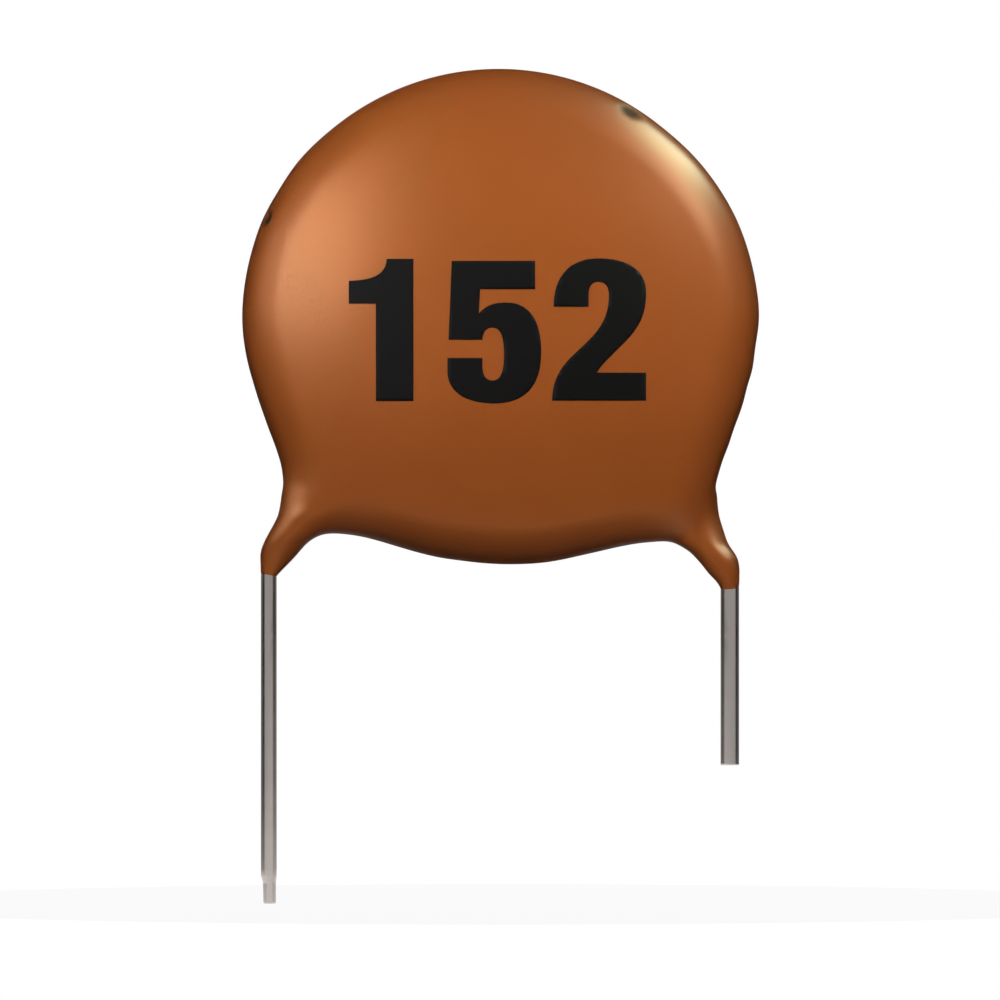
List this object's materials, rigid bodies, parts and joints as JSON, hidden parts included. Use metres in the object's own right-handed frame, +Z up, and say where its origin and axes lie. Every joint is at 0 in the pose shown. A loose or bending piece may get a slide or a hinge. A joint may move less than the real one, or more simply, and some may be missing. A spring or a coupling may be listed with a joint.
{
  "type": "ceramic disc capacitor",
  "caption": "Through-hole ceramic disc capacitor: a round brown-coated disc on straight tinned wire leads, one cut shorter than the other.",
  "frame": {"origin": "midway between the two leads at the seating plane, where the longer coated leg ends", "axes": "+Z up from the leads to the disc, +X from the long lead to the short one, the marked face looks along -Y"},
  "size_m": [0.0112, 0.0036, 0.0181],
  "materials": {
    "coating_resin": "glossy brown dipped resin",
    "dielectric_ceramic": "matte fired ceramic",
    "fired_silver": "matte fired silver",
    "solder": "bright solder",
    "tinned_wire": "satin tinned steel wire"
  },
  "bodies": {
    "root": {"coating": "coating_resin", "ceramic_disc": "dielectric_ceramic", "front_electrode": "fired_silver", "back_electrode": "fired_silver", "front_solder": "solder", "back_solder": "solder", "long_lead": "tinned_wire", "short_lead": "tinned_wire"}
  },
  "joints": []
}
